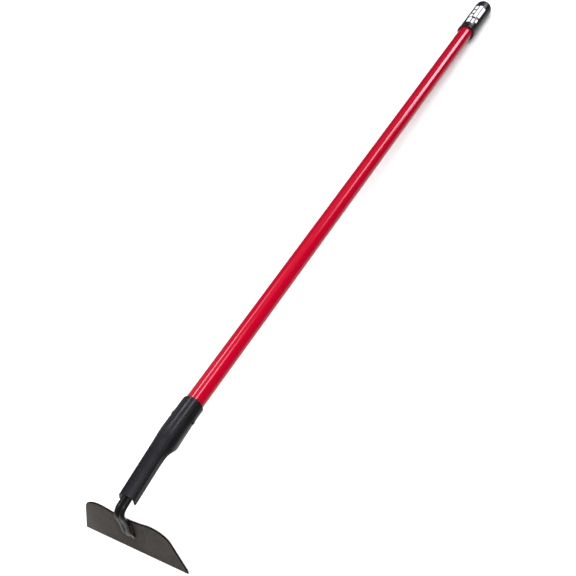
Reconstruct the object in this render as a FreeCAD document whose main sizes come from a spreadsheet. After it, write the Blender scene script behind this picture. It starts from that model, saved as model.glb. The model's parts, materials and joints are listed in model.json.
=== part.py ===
import FreeCAD, Part
import math
import os
import Sketcher

# Garden hoe with a fixed blade: a stamped blade on two bent rods, a rolled sheet socket and a
# tubular handle with a moulded grip.
#
# Tool frame: X along the handle towards the grip, Z up and square to it, origin on the handle's
# axis at the socket's mouth.  The head lies at negative X.  "Reach" is the distance from the
# mouth towards the blade.  At the end every sub-part is laid down in the rest pose: cutting edge
# and grip on the floor, Z = 0, with the origin under the middle of the whole tool.

SIZES = [
    ("handle_diameter", 30.0, "outside of the handle tube"),
    ("handle_wall", 3.0, "wall of the handle tube"),
    ("handle_inside_socket", 58.0, "length of handle held in the socket"),
    ("handle_visible", 1184.3, "handle between the socket and the grip"),
    ("handle_in_grip", 126.0, "length of handle covered by the grip"),
    ("core_length", 110.0, "dowel glued in the handle's lower end"),
    ("core_clearance", 0.05, "dowel to tube, per side"),
    ("sheet_thickness", 2.66, "12 gauge sheet of the blade and the socket"),
    ("socket_outer_radius", 17.7, "closed end of the socket"),
    ("socket_length", 180.7, "mouth to the open end"),
    ("seam_gap", 1.0, "gap between the rolled edges at the mouth"),
    ("seam_opens_at", 4.0, "reach where the edges start to part"),
    ("seam_open_by", 70.0, "reach where the skirt is fully parted"),
    ("skirt_straighten", 0.58, "share of the ring's bend lost in the skirt"),
    ("trim_starts_at", 51.0, "reach where the blank starts to narrow"),
    ("trim_ends_at", 101.0, "reach where the blank has narrowed"),
    ("channel_half_blank", 23.2, "half width of the blank where the channel starts"),
    ("channel_taper", 0.009, "loss of half width per mm"),
    ("channel_forms_at", 60.0, "reach where the ring starts to turn into the channel"),
    ("channel_formed_by", 120.0, "reach where the channel is complete"),
    ("channel_roof_radius", 20.0, "middle of the sheet, across the channel's roof"),
    ("channel_crown", 10.9, "half length of the channel's curved roof"),
    ("channel_corner", 2.2, "length of the bend between roof and wall"),
    ("channel_bend_blend", 0.5, "half length over which the bending changes"),
    ("channel_turn", 84.0, "angle from the roof's middle to the wall"),
    ("channel_slope", 9.0, "channel below the handle's axis, in degrees"),
    ("slope_starts_at", 72.0, "reach where the roof bends down"),
    ("slope_blend", 12.0, "half length of that bend"),
    ("rod_diameter", 8.0, "shank rods"),
    ("rod_gap", 0.04, "between the two rods"),
    ("rod_start", 76.0, "reach of the rods' inner ends"),
    ("rod_drop", 7.2, "rod centre below the handle axis at the socket's end"),
    ("rod_bend_start", 191.7, "reach where the rods turn down"),
    ("rod_bend_radius", 12.0, "centre line radius of that turn"),
    ("rod_return", 12.0, "lean of the rods back to the blade, in degrees"),
    ("rod_foot_radius", 40.0, "centre line radius where the rods meet the blade"),
    ("rod_foot_end", 44.0, "height of the rods' ends above the cutting edge"),
    ("rod_tip", 2.2, "thickness left at the drawn-down end of a rod"),
    ("rod_taper", 20.0, "length of the drawn-down end"),
    ("blade_width", 180.0, "cutting edge"),
    ("blade_reach", 185.0, "reach of the cutting edge"),
    ("blade_drop", 134.8, "cutting edge below the handle's axis"),
    ("blade_lean", 5.0, "blade's top away from the grip, in degrees"),
    ("dip_height", 93.7, "middle of the blade's top edge"),
    ("hump_height", 100.7, "top of the blade's two humps"),
    ("hump_offset", 42.5, "hump from the middle"),
    ("hump_radius", 30.0, "outline of a hump"),
    ("blade_corner", 2.5, "outline at the ends of the cutting edge"),
    ("blade_edge_round", 0.5, "broken edges of the blade's outline"),
    ("bevel_height", 6.0, "ground bevel on the side facing the grip"),
    ("edge_land", 0.7, "thickness left at the cutting edge"),
    ("weld_leg", 6.2, "blade weld: from the rod's centre outwards"),
    ("weld_root_angle", 30.0, "where the weld meets the rod near the blade, in degrees"),
    ("weld_toe_angle", 80.0, "where the weld ends on the rod, in degrees"),
    ("weld_swell_across", 0.45, "crown of the blade weld, outwards"),
    ("weld_swell_out", 0.35, "crown of the blade weld, off the blade"),
    ("weld_length", 30.0, "blade weld: length along a rod"),
    ("weld_height", 90.0, "blade weld: upper end above the cutting edge"),
    ("socket_weld_start", 100.0, "reach where the welds in the channel start"),
    ("socket_weld_length", 45.0, "length of the welds in the channel"),
    ("socket_weld_depth", 4.0, "height of the welds in the channel"),
    ("socket_weld_drop", 0.4, "their middle below the rods' centres"),
    ("socket_weld_overlap", 1.2, "how far they reach in over the rods"),
    ("socket_weld_width", 7.5, "width before they are cut by rod and wall"),
    ("rivet_reach", 29.0, "rivet from the socket's mouth"),
    ("rivet_diameter", 6.0, "rivet shank"),
    ("rivet_hole_slack", 0.02, "hole larger than the rivet, per side"),
    ("rivet_head", 10.5, "rivet head diameter"),
    ("rivet_head_flat", 6.3, "flat crown of the head, diameter"),
    ("rivet_head_height", 1.9, "rivet head"),
    ("rivet_tail", 9.0, "closed end of the rivet, diameter"),
    ("rivet_tail_flat", 4.95, "flat crown of the closed end, diameter"),
    ("rivet_tail_height", 1.5, "closed end of the rivet"),
    ("rivet_crown_round", 1.0, "rounding of both crowns"),
    ("grip_radius", 18.5, "outside of the grip"),
    ("grip_bore", 15.03, "inside of the grip"),
    ("grip_length", 134.0, "grip"),
    ("bead_radius", 19.3, "bead round the grip's mouth"),
    ("bead_length", 5.0, "that bead's length"),
    ("bead_fall", 1.2, "length of the slope behind the bead"),
    ("bead_round", 1.2, "rounding of the bead's edge"),
    ("grip_end_round", 16.0, "edge of the grip's closed end"),
    ("grip_end_wall", 6.6, "closed end of the grip"),
    ("label_start", 16.0, "label from the grip's mouth"),
    ("label_length", 84.0, "label"),
    ("label_depth", 0.25, "thickness of the label, flush in the grip"),
    ("label_angle", 78.0, "wrap of the label, in degrees"),
    ("label_turn", 10.0, "label's middle from the top towards -Y, in degrees"),
]

doc = FreeCAD.newDocument("garden_hoe")
sheet = doc.addObject("Spreadsheet::Sheet", "sizes")
for row, (name, value, note) in enumerate(SIZES, start=1):
    sheet.set("A%d" % row, note)
    sheet.set("B%d" % row, str(value))
    sheet.setAlias("B%d" % row, name)
doc.recompute()
SIZE = {name: float(sheet.get(name)) for name, value, note in SIZES}


def vec(x, y, z):
    return FreeCAD.Vector(x, y, z)


def ref(expression):
    """An expression in which each @name is a cell of the sheet."""
    return expression.replace("@", "sizes.")


# ---------------------------------------------------------------- body and sketch helpers

def new_body(label):
    body = doc.addObject("PartDesign::Body", label)
    body.Label = label
    return body


def origin_plane(body, role):
    for feature in body.Origin.OriginFeatures:
        if feature.Role == role:
            return feature
    raise ValueError("no plane " + role)


def new_sketch(body, name, role):
    sketch = body.newObject("Sketcher::SketchObject", name)
    sketch.AttachmentSupport = [(origin_plane(body, role), "")]
    sketch.MapMode = "FlatFace"
    return sketch


def bind(sketch, kind, arguments, value, expression):
    """Add a dimension to a sketch and bind it to the sheet."""
    index = sketch.addConstraint(Sketcher.Constraint(kind, *arguments, value))
    sketch.setExpression("Constraints[%d]" % index, ref(expression))


def join(sketch, kind, *arguments):
    sketch.addConstraint(Sketcher.Constraint(kind, *arguments))


def add_line(sketch, start, end):
    segment = Part.LineSegment(vec(start[0], start[1], 0), vec(end[0], end[1], 0))
    return sketch.addGeometry(segment, False)


def add_arc(sketch, centre, radius, start_angle, end_angle):
    circle = Part.Circle(vec(centre[0], centre[1], 0), vec(0, 0, 1), radius)
    arc = Part.ArcOfCircle(circle, start_angle, end_angle)
    return sketch.addGeometry(arc, False)


def add_circle(sketch, radius_value, radius_expression, centre=(0.0, 0.0)):
    circle = Part.Circle(vec(centre[0], centre[1], 0), vec(0, 0, 1), radius_value)
    index = sketch.addGeometry(circle, False)
    bind(sketch, "Radius", (index,), radius_value, radius_expression)
    return index


def centre_on_origin(sketch, index):
    join(sketch, "Coincident", index, 3, -1, 1)


def polygon(sketch, corners):
    """A closed outline; each corner is (x, y, x expression, y expression)."""
    count = len(corners)
    lines = []
    for i in range(count):
        following = corners[(i + 1) % count]
        lines.append(add_line(sketch, corners[i][:2], following[:2]))
    for i in range(count):
        join(sketch, "Coincident", lines[i], 2, lines[(i + 1) % count], 1)
    for i, (x, y, x_expression, y_expression) in enumerate(corners):
        place_point(sketch, lines[i], 1, x, y, x_expression, y_expression)


def place_point(sketch, geometry, point, x, y, x_expression, y_expression):
    for kind, axis, value, expression in (("DistanceX", -2, x, x_expression),
                                          ("DistanceY", -1, y, y_expression)):
        if expression == "0":
            join(sketch, "PointOnObject", geometry, point, axis)
        else:
            bind(sketch, kind, (-1, 1, geometry, point), value, expression)


def revolve(body, sketch, name):
    turned = body.newObject("PartDesign::Revolution", name)
    turned.Profile = sketch
    turned.ReferenceAxis = (sketch, ["V_Axis"])
    turned.Angle = 360.0
    body.Tip = turned
    return turned


# ---------------------------------------------------------------- blade

def outline_of_blade(sketch):
    half = SIZE["blade_width"] / 2
    offset = SIZE["hump_offset"]
    radius = SIZE["hump_radius"]
    rise = SIZE["hump_height"] - SIZE["dip_height"]
    centre_height = SIZE["hump_height"] - radius
    dip_radius = (offset ** 2 + rise ** 2) / (2 * rise) - radius
    dip_centre = SIZE["dip_height"] + dip_radius
    # direction of the side edge: tangent from the corner to the hump
    to_centre = math.hypot(half - offset, centre_height)
    side_angle = math.atan2(centre_height, offset - half) - math.asin(radius / to_centre)
    side_length = math.sqrt(to_centre ** 2 - radius ** 2)
    side_top = (half + side_length * math.cos(side_angle), side_length * math.sin(side_angle))
    normal_angle = side_angle - math.pi / 2
    meet_angle = math.atan2(dip_centre - centre_height, -offset)

    edge = add_line(sketch, (-half, 0), (half, 0))
    side = add_line(sketch, (half, 0), side_top)
    hump = add_arc(sketch, (offset, centre_height), radius, normal_angle, meet_angle)
    dip = add_arc(sketch, (0, dip_centre), dip_radius, -meet_angle, meet_angle - math.pi)
    far_hump = add_arc(sketch, (-offset, centre_height), radius,
                       math.pi - meet_angle, math.pi - normal_angle)
    far_side = add_line(sketch, (-side_top[0], side_top[1]), (-half, 0))

    join(sketch, "Coincident", edge, 2, side, 1)
    join(sketch, "Tangent", side, 2, hump, 1)
    join(sketch, "Tangent", hump, 2, dip, 2)
    join(sketch, "Tangent", dip, 1, far_hump, 1)
    join(sketch, "Tangent", far_hump, 2, far_side, 1)
    join(sketch, "Coincident", far_side, 2, edge, 1)
    place_point(sketch, edge, 1, -half, 0, "-@blade_width / 2", "0")
    place_point(sketch, edge, 2, half, 0, "@blade_width / 2", "0")
    bind(sketch, "Radius", (hump,), radius, "@hump_radius")
    join(sketch, "Equal", hump, far_hump)
    place_point(sketch, hump, 3, offset, centre_height,
                "@hump_offset", "@hump_height - @hump_radius")
    place_point(sketch, far_hump, 3, -offset, centre_height,
                "-@hump_offset", "@hump_height - @hump_radius")
    bind(sketch, "DistanceY", (-1, 1, dip, 3), dip_centre,
         "@dip_height - @hump_radius + (@hump_offset^2 + (@hump_height - @dip_height)^2)"
         " / (2 * (@hump_height - @dip_height))")


def edges_where(shape, test):
    names = []
    for index, edge in enumerate(shape.Edges, start=1):
        if all(test(vertex.Point) for vertex in edge.Vertexes):
            names.append("Edge%d" % index)
    return names


def make_blade():
    """Local X across the blade, Y up it from the cutting edge, Z towards the grip."""
    body = new_body("blade")
    sketch = new_sketch(body, "blade_outline", "XY_Plane")
    outline_of_blade(sketch)
    plate = body.newObject("PartDesign::Pad", "blade_plate")
    plate.Profile = sketch
    plate.setExpression("Length", ref("@sheet_thickness"))
    body.Tip = plate
    doc.recompute()

    half = SIZE["blade_width"] / 2
    thickness = SIZE["sheet_thickness"]
    corners = body.newObject("PartDesign::Fillet", "blade_corners")
    at_ends = edges_where(plate.Shape, lambda p: abs(abs(p.x) - half) < 0.01 and p.y < 0.01)
    upright = [n for n in at_ends if plate.Shape.getElement(n).Length < thickness + 0.01]
    corners.Base = (plate, upright)
    corners.setExpression("Radius", ref("@blade_corner"))
    body.Tip = corners
    doc.recompute()

    # the bevel is ground along the whole cutting edge, on the side facing the grip
    bevel = body.newObject("PartDesign::Pocket", "blade_bevel")
    section = new_sketch(body, "bevel_section", "YZ_Plane")
    top = SIZE["bevel_height"]
    land = SIZE["edge_land"]
    below = land - (thickness - land) / top
    polygon(section, [
        (-1, below, "-1",
         "@edge_land - (@sheet_thickness - @edge_land) / @bevel_height"),
        (top, thickness, "@bevel_height", "@sheet_thickness"),
        (top, thickness + 1, "@bevel_height", "@sheet_thickness + 1"),
        (-1, thickness + 1, "-1", "@sheet_thickness + 1"),
    ])
    bevel.Profile = section
    bevel.Type = "ThroughAll"
    bevel.Midplane = True
    body.Tip = bevel
    doc.recompute()

    broken = body.newObject("PartDesign::Fillet", "blade_broken_edges")
    above = top + 1
    rim = edges_where(bevel.Shape, lambda p: p.y > above)
    flat = [n for n in rim if spans_one_level(bevel.Shape.getElement(n))]
    broken.Base = (bevel, flat)
    broken.setExpression("Radius", ref("@blade_edge_round"))
    body.Tip = broken
    return body


def spans_one_level(edge):
    levels = [vertex.Point.z for vertex in edge.Vertexes]
    return max(levels) - min(levels) < 0.01


# ---------------------------------------------------------------- shank rods

def rod_path_sizes():
    """Lengths of the rod's straight runs, and its headings below level."""
    slope = math.radians(SIZE["channel_slope"])
    heading = math.radians(90 + SIZE["rod_return"])
    lean = math.radians(90 + SIZE["blade_lean"])
    radius = SIZE["rod_bend_radius"]
    run = (SIZE["rod_bend_start"] - SIZE["rod_start"]) / math.cos(slope)
    over = SIZE["rod_bend_start"] - SIZE["socket_length"]
    bend_end = (SIZE["rod_bend_start"] + radius * (math.sin(heading) - math.sin(slope)),
                SIZE["rod_drop"] + over * math.tan(slope)
                + radius * (math.cos(slope) - math.cos(heading)))
    # the foot's centre line: parallel to the blade, one rod radius in front of it
    edge = (SIZE["blade_reach"] + SIZE["rod_diameter"] / 2 / math.sin(lean), SIZE["blade_drop"])
    across = (edge[0] - bend_end[0]) * math.sin(lean) - (edge[1] - bend_end[1]) * math.cos(lean)
    fall = across / math.sin(heading - lean) * -1
    corner = (bend_end[0] + fall * math.cos(heading), bend_end[1] + fall * math.sin(heading))
    tangent = SIZE["rod_foot_radius"] * math.tan((heading - lean) / 2)
    along = math.hypot(edge[0] - corner[0], edge[1] - corner[1])
    foot = along - SIZE["rod_foot_end"] - tangent
    return slope, heading, lean, run, fall - tangent, foot


def make_rod(label, side):
    """Local X along the rod from its inner end, Z up."""
    slope, heading, lean, run, fall, foot = rod_path_sizes()
    radius = SIZE["rod_bend_radius"]
    foot_radius = SIZE["rod_foot_radius"]
    turn = heading - slope
    back = heading - lean
    body = new_body(label)

    path = new_sketch(body, label + "_path", "XZ_Plane")
    first = add_line(path, (0, 0), (run, 0))
    bend = add_arc(path, (run, -radius), radius, math.pi / 2 - turn, math.pi / 2)
    here = (run + radius * math.sin(turn), -radius + radius * math.cos(turn))
    there = (here[0] + fall * math.cos(turn), here[1] - fall * math.sin(turn))
    second = add_line(path, here, there)
    hub = (there[0] + foot_radius * math.sin(turn), there[1] + foot_radius * math.cos(turn))
    start_angle = math.pi * 1.5 - turn
    set_back = add_arc(path, hub, foot_radius, start_angle, start_angle + back)
    after = (hub[0] + foot_radius * math.cos(start_angle + back),
             hub[1] + foot_radius * math.sin(start_angle + back))
    end = (after[0] + foot * math.cos(turn - back), after[1] - foot * math.sin(turn - back))
    third = add_line(path, after, end)
    join(path, "Coincident", first, 1, -1, 1)
    join(path, "Horizontal", first)
    bind(path, "DistanceX", (first, 1, first, 2), run,
         "(@rod_bend_start - @rod_start) / cos(@channel_slope * 1 deg)")
    join(path, "Tangent", first, 2, bend, 2)
    bind(path, "Radius", (bend,), radius, "@rod_bend_radius")
    join(path, "Tangent", bend, 1, second, 1)
    join(path, "Tangent", second, 2, set_back, 1)
    bind(path, "Radius", (set_back,), foot_radius, "@rod_foot_radius")
    join(path, "Tangent", set_back, 2, third, 1)
    place_point(path, second, 2, there[0], there[1], "%.6f" % there[0], "%.6f" % there[1])
    place_point(path, third, 2, end[0], end[1], "%.6f" % end[0], "%.6f" % end[1])

    profile = new_sketch(body, label + "_section", "YZ_Plane")
    centre_on_origin(profile, add_circle(profile, SIZE["rod_diameter"] / 2, "@rod_diameter / 2"))
    rod = body.newObject("PartDesign::AdditivePipe", label + "_rod")
    rod.Profile = profile
    rod.Spine = path
    body.Tip = rod
    doc.recompute()
    whole = rod.Shape.Volume

    # the end is drawn down to a thin tongue on the side away from the blade
    direction = (math.cos(turn - back), -math.sin(turn - back))
    away = (-direction[1], direction[0])
    half = SIZE["rod_diameter"] / 2
    keep = SIZE["rod_tip"] - half
    taper = SIZE["rod_taper"]
    corners = []
    for along, out in ((-taper, half + 0.5), (1.0, half + 0.5), (1.0, keep), (-taper, half)):
        x = end[0] + direction[0] * along + away[0] * out
        y = end[1] + direction[1] * along + away[1] * out
        corners.append((x, y, "%.6f" % x, "%.6f" % y))
    wedge = new_sketch(body, label + "_wedge", "XZ_Plane")
    polygon(wedge, corners)
    drawn = body.newObject("PartDesign::Pocket", label + "_drawn_end")
    drawn.Profile = wedge
    drawn.Type = "ThroughAll"
    drawn.Midplane = True
    body.Tip = drawn
    doc.recompute()
    if not 0 < whole - drawn.Shape.Volume < 0.2 * whole:
        raise ValueError("the rod's end was not drawn down")

    spacing = SIZE["rod_diameter"] + SIZE["rod_gap"]
    start_drop = SIZE["rod_drop"] - (SIZE["socket_length"] - SIZE["rod_start"]) * math.tan(slope)
    body.Placement = FreeCAD.Placement(
        vec(-SIZE["rod_start"], side * spacing / 2, -start_drop),
        FreeCAD.Rotation(vec(0, 1, 0), -math.degrees(slope)) * FreeCAD.Rotation(vec(0, 0, 1), 180))
    return body


# ---------------------------------------------------------------- socket

def smooth(value, low, high):
    part = min(1.0, max(0.0, (value - low) / (high - low)))
    return part * part * (3 - 2 * part)


def roof_drop(reach):
    """How far the channel's roof has sunk below the closed ring's."""
    slope = math.tan(math.radians(SIZE["channel_slope"]))
    blend = SIZE["slope_blend"]
    past = reach - SIZE["slope_starts_at"]
    if past < -blend:
        return 0.0
    if past > blend:
        return past * slope
    return slope * (past + blend) ** 2 / (4 * blend)


def half_blank(reach):
    """Half width of the flat blank at this reach."""
    ring = math.pi * (SIZE["socket_outer_radius"] - SIZE["sheet_thickness"] / 2)
    full = ring - SIZE["seam_gap"] / 2
    channel = SIZE["channel_half_blank"] - (reach - SIZE["trim_ends_at"]) * SIZE["channel_taper"]
    share = smooth(reach, SIZE["trim_starts_at"], SIZE["trim_ends_at"])
    return full + (channel - full) * share


def sheet_bend(across, reach):
    """Curvature of the rolled sheet at a distance across it from the roof's middle."""
    radius = SIZE["socket_outer_radius"] - SIZE["sheet_thickness"] / 2
    roof = SIZE["channel_roof_radius"]
    crown = SIZE["channel_crown"]
    corner = SIZE["channel_corner"]
    blend = SIZE["channel_bend_blend"]
    opened = SIZE["skirt_straighten"] * smooth(
        reach, SIZE["seam_opens_at"], SIZE["seam_open_by"])
    formed = smooth(reach, SIZE["channel_forms_at"], SIZE["channel_formed_by"])
    ring = (1 - opened * smooth(across, 1.45 * radius, 1.7 * radius)) / radius
    past_crown = smooth(across, crown - blend, crown + blend)
    past_corner = smooth(across, crown + corner - blend, crown + corner + blend)
    corner_bend = (math.radians(SIZE["channel_turn"]) - crown / roof) / corner
    channel = (1 - past_crown) / roof + (past_crown - past_corner) * corner_bend
    return ring * (1 - formed) + channel * formed


def socket_section(reach, outward, steps=32):
    """Points across the sheet at one reach, offset from its middle surface."""
    width = half_blank(reach) / steps
    roof = SIZE["socket_outer_radius"] - SIZE["sheet_thickness"] / 2 - roof_drop(reach)
    fine = 4
    angle = 0.0
    y = 0.0
    z = roof
    side = [(outward * math.sin(angle), z + outward * math.cos(angle))]
    for step in range(steps):
        for part in range(fine):
            across = (step + (part + 0.5) / fine) * width
            bend = sheet_bend(across, reach) * width / fine
            y += width / fine * math.cos(angle + bend / 2)
            z -= width / fine * math.sin(angle + bend / 2)
            angle += bend
        side.append((y + outward * math.sin(angle), z + outward * math.cos(angle)))
    other = [(-y, z) for y, z in reversed(side[1:])]
    return [vec(-reach, y, z) for y, z in other + side]


def make_socket():
    stations = 37
    length = SIZE["socket_length"]
    half = SIZE["sheet_thickness"] / 2
    surfaces = []
    for outward in (half, -half):
        rows = [socket_section(length * i / (stations - 1), outward) for i in range(stations)]
        surface = Part.BSplineSurface()
        surface.interpolate(rows)
        surfaces.append(surface)
    outer, inner = surfaces
    first_u, last_u, first_v, last_v = outer.bounds()
    low_u, high_u, low_v, high_v = inner.bounds()
    faces = [outer.toShape(), inner.toShape()]
    for outer_value, inner_value in ((first_u, low_u), (last_u, high_u)):
        faces.append(Part.makeRuledSurface(outer.uIso(outer_value).toShape(),
                                           inner.uIso(inner_value).toShape()))
    for outer_value, inner_value in ((first_v, low_v), (last_v, high_v)):
        faces.append(Part.makeRuledSurface(outer.vIso(outer_value).toShape(),
                                           inner.vIso(inner_value).toShape()))
    shell = Part.makeShell(faces)
    shell.sewShape()
    shape = Part.makeSolid(shell)
    if shape.Volume < 0:
        shape.reverse()
    reach = SIZE["rivet_reach"]
    width = 3 * SIZE["socket_outer_radius"]
    hole = Part.makeCylinder(SIZE["rivet_diameter"] / 2 + SIZE["rivet_hole_slack"], width,
                             vec(-reach, -width / 2, 0), vec(0, 1, 0))
    socket = doc.addObject("Part::Feature", "socket")
    socket.Label = "socket"
    socket.Shape = shape.cut(hole).Solids[0]
    return socket


# ---------------------------------------------------------------- handle, core and rivet

def cross_hole(body, base, height, height_expression, name):
    sketch = new_sketch(body, name + "_sketch", "XZ_Plane")
    radius = SIZE["rivet_diameter"] / 2 + SIZE["rivet_hole_slack"]
    circle = add_circle(sketch, radius, "@rivet_diameter / 2 + @rivet_hole_slack", (0, height))
    place_point(sketch, circle, 3, 0, height, "0", height_expression)
    hole = body.newObject("PartDesign::Pocket", name)
    hole.Profile = sketch
    hole.Type = "ThroughAll"
    hole.Midplane = True
    body.Tip = hole
    doc.recompute()
    if hole.Shape.Volume > base.Shape.Volume - 1:
        raise ValueError(name + " cuts nothing")


def along_handle(reach):
    """Local Z along the handle towards the grip, local Y across the tool."""
    return FreeCAD.Placement(vec(-reach, 0, 0), FreeCAD.Rotation(vec(0, 1, 0), 90))


def make_handle():
    body = new_body("handle_tube")
    ring = new_sketch(body, "handle_section", "XY_Plane")
    outside = SIZE["handle_diameter"] / 2
    centre_on_origin(ring, add_circle(ring, outside, "@handle_diameter / 2"))
    centre_on_origin(ring, add_circle(ring, outside - SIZE["handle_wall"],
                                      "@handle_diameter / 2 - @handle_wall"))
    tube = body.newObject("PartDesign::Pad", "handle_pultrusion")
    tube.Profile = ring
    tube.setExpression("Length", ref("@handle_inside_socket + @handle_visible + @handle_in_grip"))
    body.Tip = tube
    doc.recompute()
    cross_hole(body, tube, SIZE["handle_inside_socket"] - SIZE["rivet_reach"],
               "@handle_inside_socket - @rivet_reach", "handle_rivet_hole")
    body.Placement = along_handle(SIZE["handle_inside_socket"])
    return body


def make_core():
    body = new_body("handle_core")
    disc = new_sketch(body, "core_section", "XY_Plane")
    radius = SIZE["handle_diameter"] / 2 - SIZE["handle_wall"] - SIZE["core_clearance"]
    centre_on_origin(disc, add_circle(
        disc, radius, "@handle_diameter / 2 - @handle_wall - @core_clearance"))
    dowel = body.newObject("PartDesign::Pad", "core_dowel")
    dowel.Profile = disc
    dowel.setExpression("Length", ref("@core_length"))
    body.Tip = dowel
    doc.recompute()
    cross_hole(body, dowel, SIZE["handle_inside_socket"] - SIZE["rivet_reach"],
               "@handle_inside_socket - @rivet_reach", "core_rivet_hole")
    body.Placement = along_handle(SIZE["handle_inside_socket"])
    return body


def make_rivet():
    """Local Z from the closed end to the head; the head lies on the +Y side."""
    body = new_body("rivet")
    sketch = new_sketch(body, "rivet_profile", "XZ_Plane")
    shank = SIZE["rivet_diameter"] / 2
    grip = SIZE["socket_outer_radius"]
    head = SIZE["rivet_head"] / 2
    head_flat = SIZE["rivet_head_flat"] / 2
    tail = SIZE["rivet_tail"] / 2
    tail_flat = SIZE["rivet_tail_flat"] / 2
    top = grip + SIZE["rivet_head_height"]
    bottom = grip + SIZE["rivet_tail_height"]
    polygon(sketch, [
        (0, -bottom, "0", "-@socket_outer_radius - @rivet_tail_height"),
        (tail_flat, -bottom, "@rivet_tail_flat / 2", "-@socket_outer_radius - @rivet_tail_height"),
        (tail, -grip, "@rivet_tail / 2", "-@socket_outer_radius"),
        (shank, -grip, "@rivet_diameter / 2", "-@socket_outer_radius"),
        (shank, grip, "@rivet_diameter / 2", "@socket_outer_radius"),
        (head, grip, "@rivet_head / 2", "@socket_outer_radius"),
        (head_flat, top, "@rivet_head_flat / 2", "@socket_outer_radius + @rivet_head_height"),
        (0, top, "0", "@socket_outer_radius + @rivet_head_height"),
    ])
    turned = revolve(body, sketch, "rivet_turned")
    doc.recompute()
    # round the crowns of both ends
    round_off = body.newObject("PartDesign::Fillet", "rivet_crowns")
    crowns = edges_where(turned.Shape, lambda p: abs(p.z) > grip + 1)
    round_off.Base = (turned, crowns)
    round_off.setExpression("Radius", ref("@rivet_crown_round"))
    body.Tip = round_off
    body.Placement = FreeCAD.Placement(vec(-SIZE["rivet_reach"], 0, 0),
                                       FreeCAD.Rotation(vec(1, 0, 0), -90))
    return body


# ---------------------------------------------------------------- grip and its label

def make_grip():
    """Local Z from the grip's mouth to its closed end."""
    body = new_body("grip")
    sketch = new_sketch(body, "grip_profile", "XZ_Plane")
    bore = SIZE["grip_bore"]
    outside = SIZE["grip_radius"]
    bead = SIZE["bead_radius"]
    bead_end = SIZE["bead_length"]
    fall = SIZE["bead_fall"]
    length = SIZE["grip_length"]
    floor = length - SIZE["grip_end_wall"]
    polygon(sketch, [
        (bore, 0, "@grip_bore", "0"),
        (bead, 0, "@bead_radius", "0"),
        (bead, bead_end, "@bead_radius", "@bead_length"),
        (outside, bead_end + fall, "@grip_radius", "@bead_length + @bead_fall"),
        (outside, length, "@grip_radius", "@grip_length"),
        (0, length, "0", "@grip_length"),
        (0, floor, "0", "@grip_length - @grip_end_wall"),
        (bore, floor, "@grip_bore", "@grip_length - @grip_end_wall"),
    ])
    turned = revolve(body, sketch, "grip_turned")
    doc.recompute()
    end = body.newObject("PartDesign::Fillet", "grip_round_end")
    end.Base = (turned, edges_where(turned.Shape, lambda p: p.z > length - 0.01 and p.x > 1))
    end.setExpression("Radius", ref("@grip_end_round"))
    body.Tip = end
    doc.recompute()
    rim = body.newObject("PartDesign::Fillet", "grip_round_bead")
    rim.Base = (end, edges_where(end.Shape, lambda p: p.z < bead_end + 0.01
                                 and abs(p.x) > bead - 0.01))
    rim.setExpression("Radius", ref("@bead_round"))
    body.Tip = rim
    doc.recompute()
    seat = body.newObject("PartDesign::Groove", "grip_label_seat")
    seat_sketch = new_sketch(body, "label_seat_profile", "XZ_Plane")
    label_rectangle(seat_sketch, outside + 1.0, "@grip_radius + 1")
    seat.Profile = seat_sketch
    seat.ReferenceAxis = (seat_sketch, ["V_Axis"])
    seat.setExpression("Angle", ref("@label_angle"))
    seat.Midplane = True
    body.Tip = seat
    doc.recompute()
    if seat.Shape.Volume > rim.Shape.Volume - 1:
        raise ValueError("the label's seat cuts nothing")
    body.Placement = grip_placement()
    return body


def label_rectangle(sketch, outside, outside_expression):
    inside = SIZE["grip_radius"] - SIZE["label_depth"]
    start = SIZE["label_start"]
    end = start + SIZE["label_length"]
    polygon(sketch, [
        (inside, start, "@grip_radius - @label_depth", "@label_start"),
        (outside, start, outside_expression, "@label_start"),
        (outside, end, outside_expression, "@label_start + @label_length"),
        (inside, end, "@grip_radius - @label_depth", "@label_start + @label_length"),
    ])


def make_label():
    body = new_body("grip_label")
    sketch = new_sketch(body, "label_profile", "XZ_Plane")
    label_rectangle(sketch, SIZE["grip_radius"], "@grip_radius")
    wrap = revolve(body, sketch, "label_wrap")
    wrap.setExpression("Angle", ref("@label_angle"))
    wrap.Midplane = True
    body.Placement = grip_placement()
    return body


def grip_placement():
    """Local Z along the handle and local X up, turned so that the label faces -Y a little."""
    upright = FreeCAD.Rotation(vec(0, 1, 0), 90) * FreeCAD.Rotation(vec(0, 0, 1), 180)
    turn = FreeCAD.Rotation(vec(1, 0, 0), SIZE["label_turn"])
    return FreeCAD.Placement(vec(SIZE["handle_visible"], 0, 0), turn * upright)


# ---------------------------------------------------------------- welds

def blade_placement():
    lean = FreeCAD.Rotation(vec(0, 1, 0), -SIZE["blade_lean"])
    square = FreeCAD.Rotation(vec(0, 1, 0), vec(0, 0, 1), vec(1, 0, 0), "ZXY")
    place = vec(-SIZE["blade_reach"], 0, -SIZE["blade_drop"])
    return FreeCAD.Placement(place, lean * square)


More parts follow.
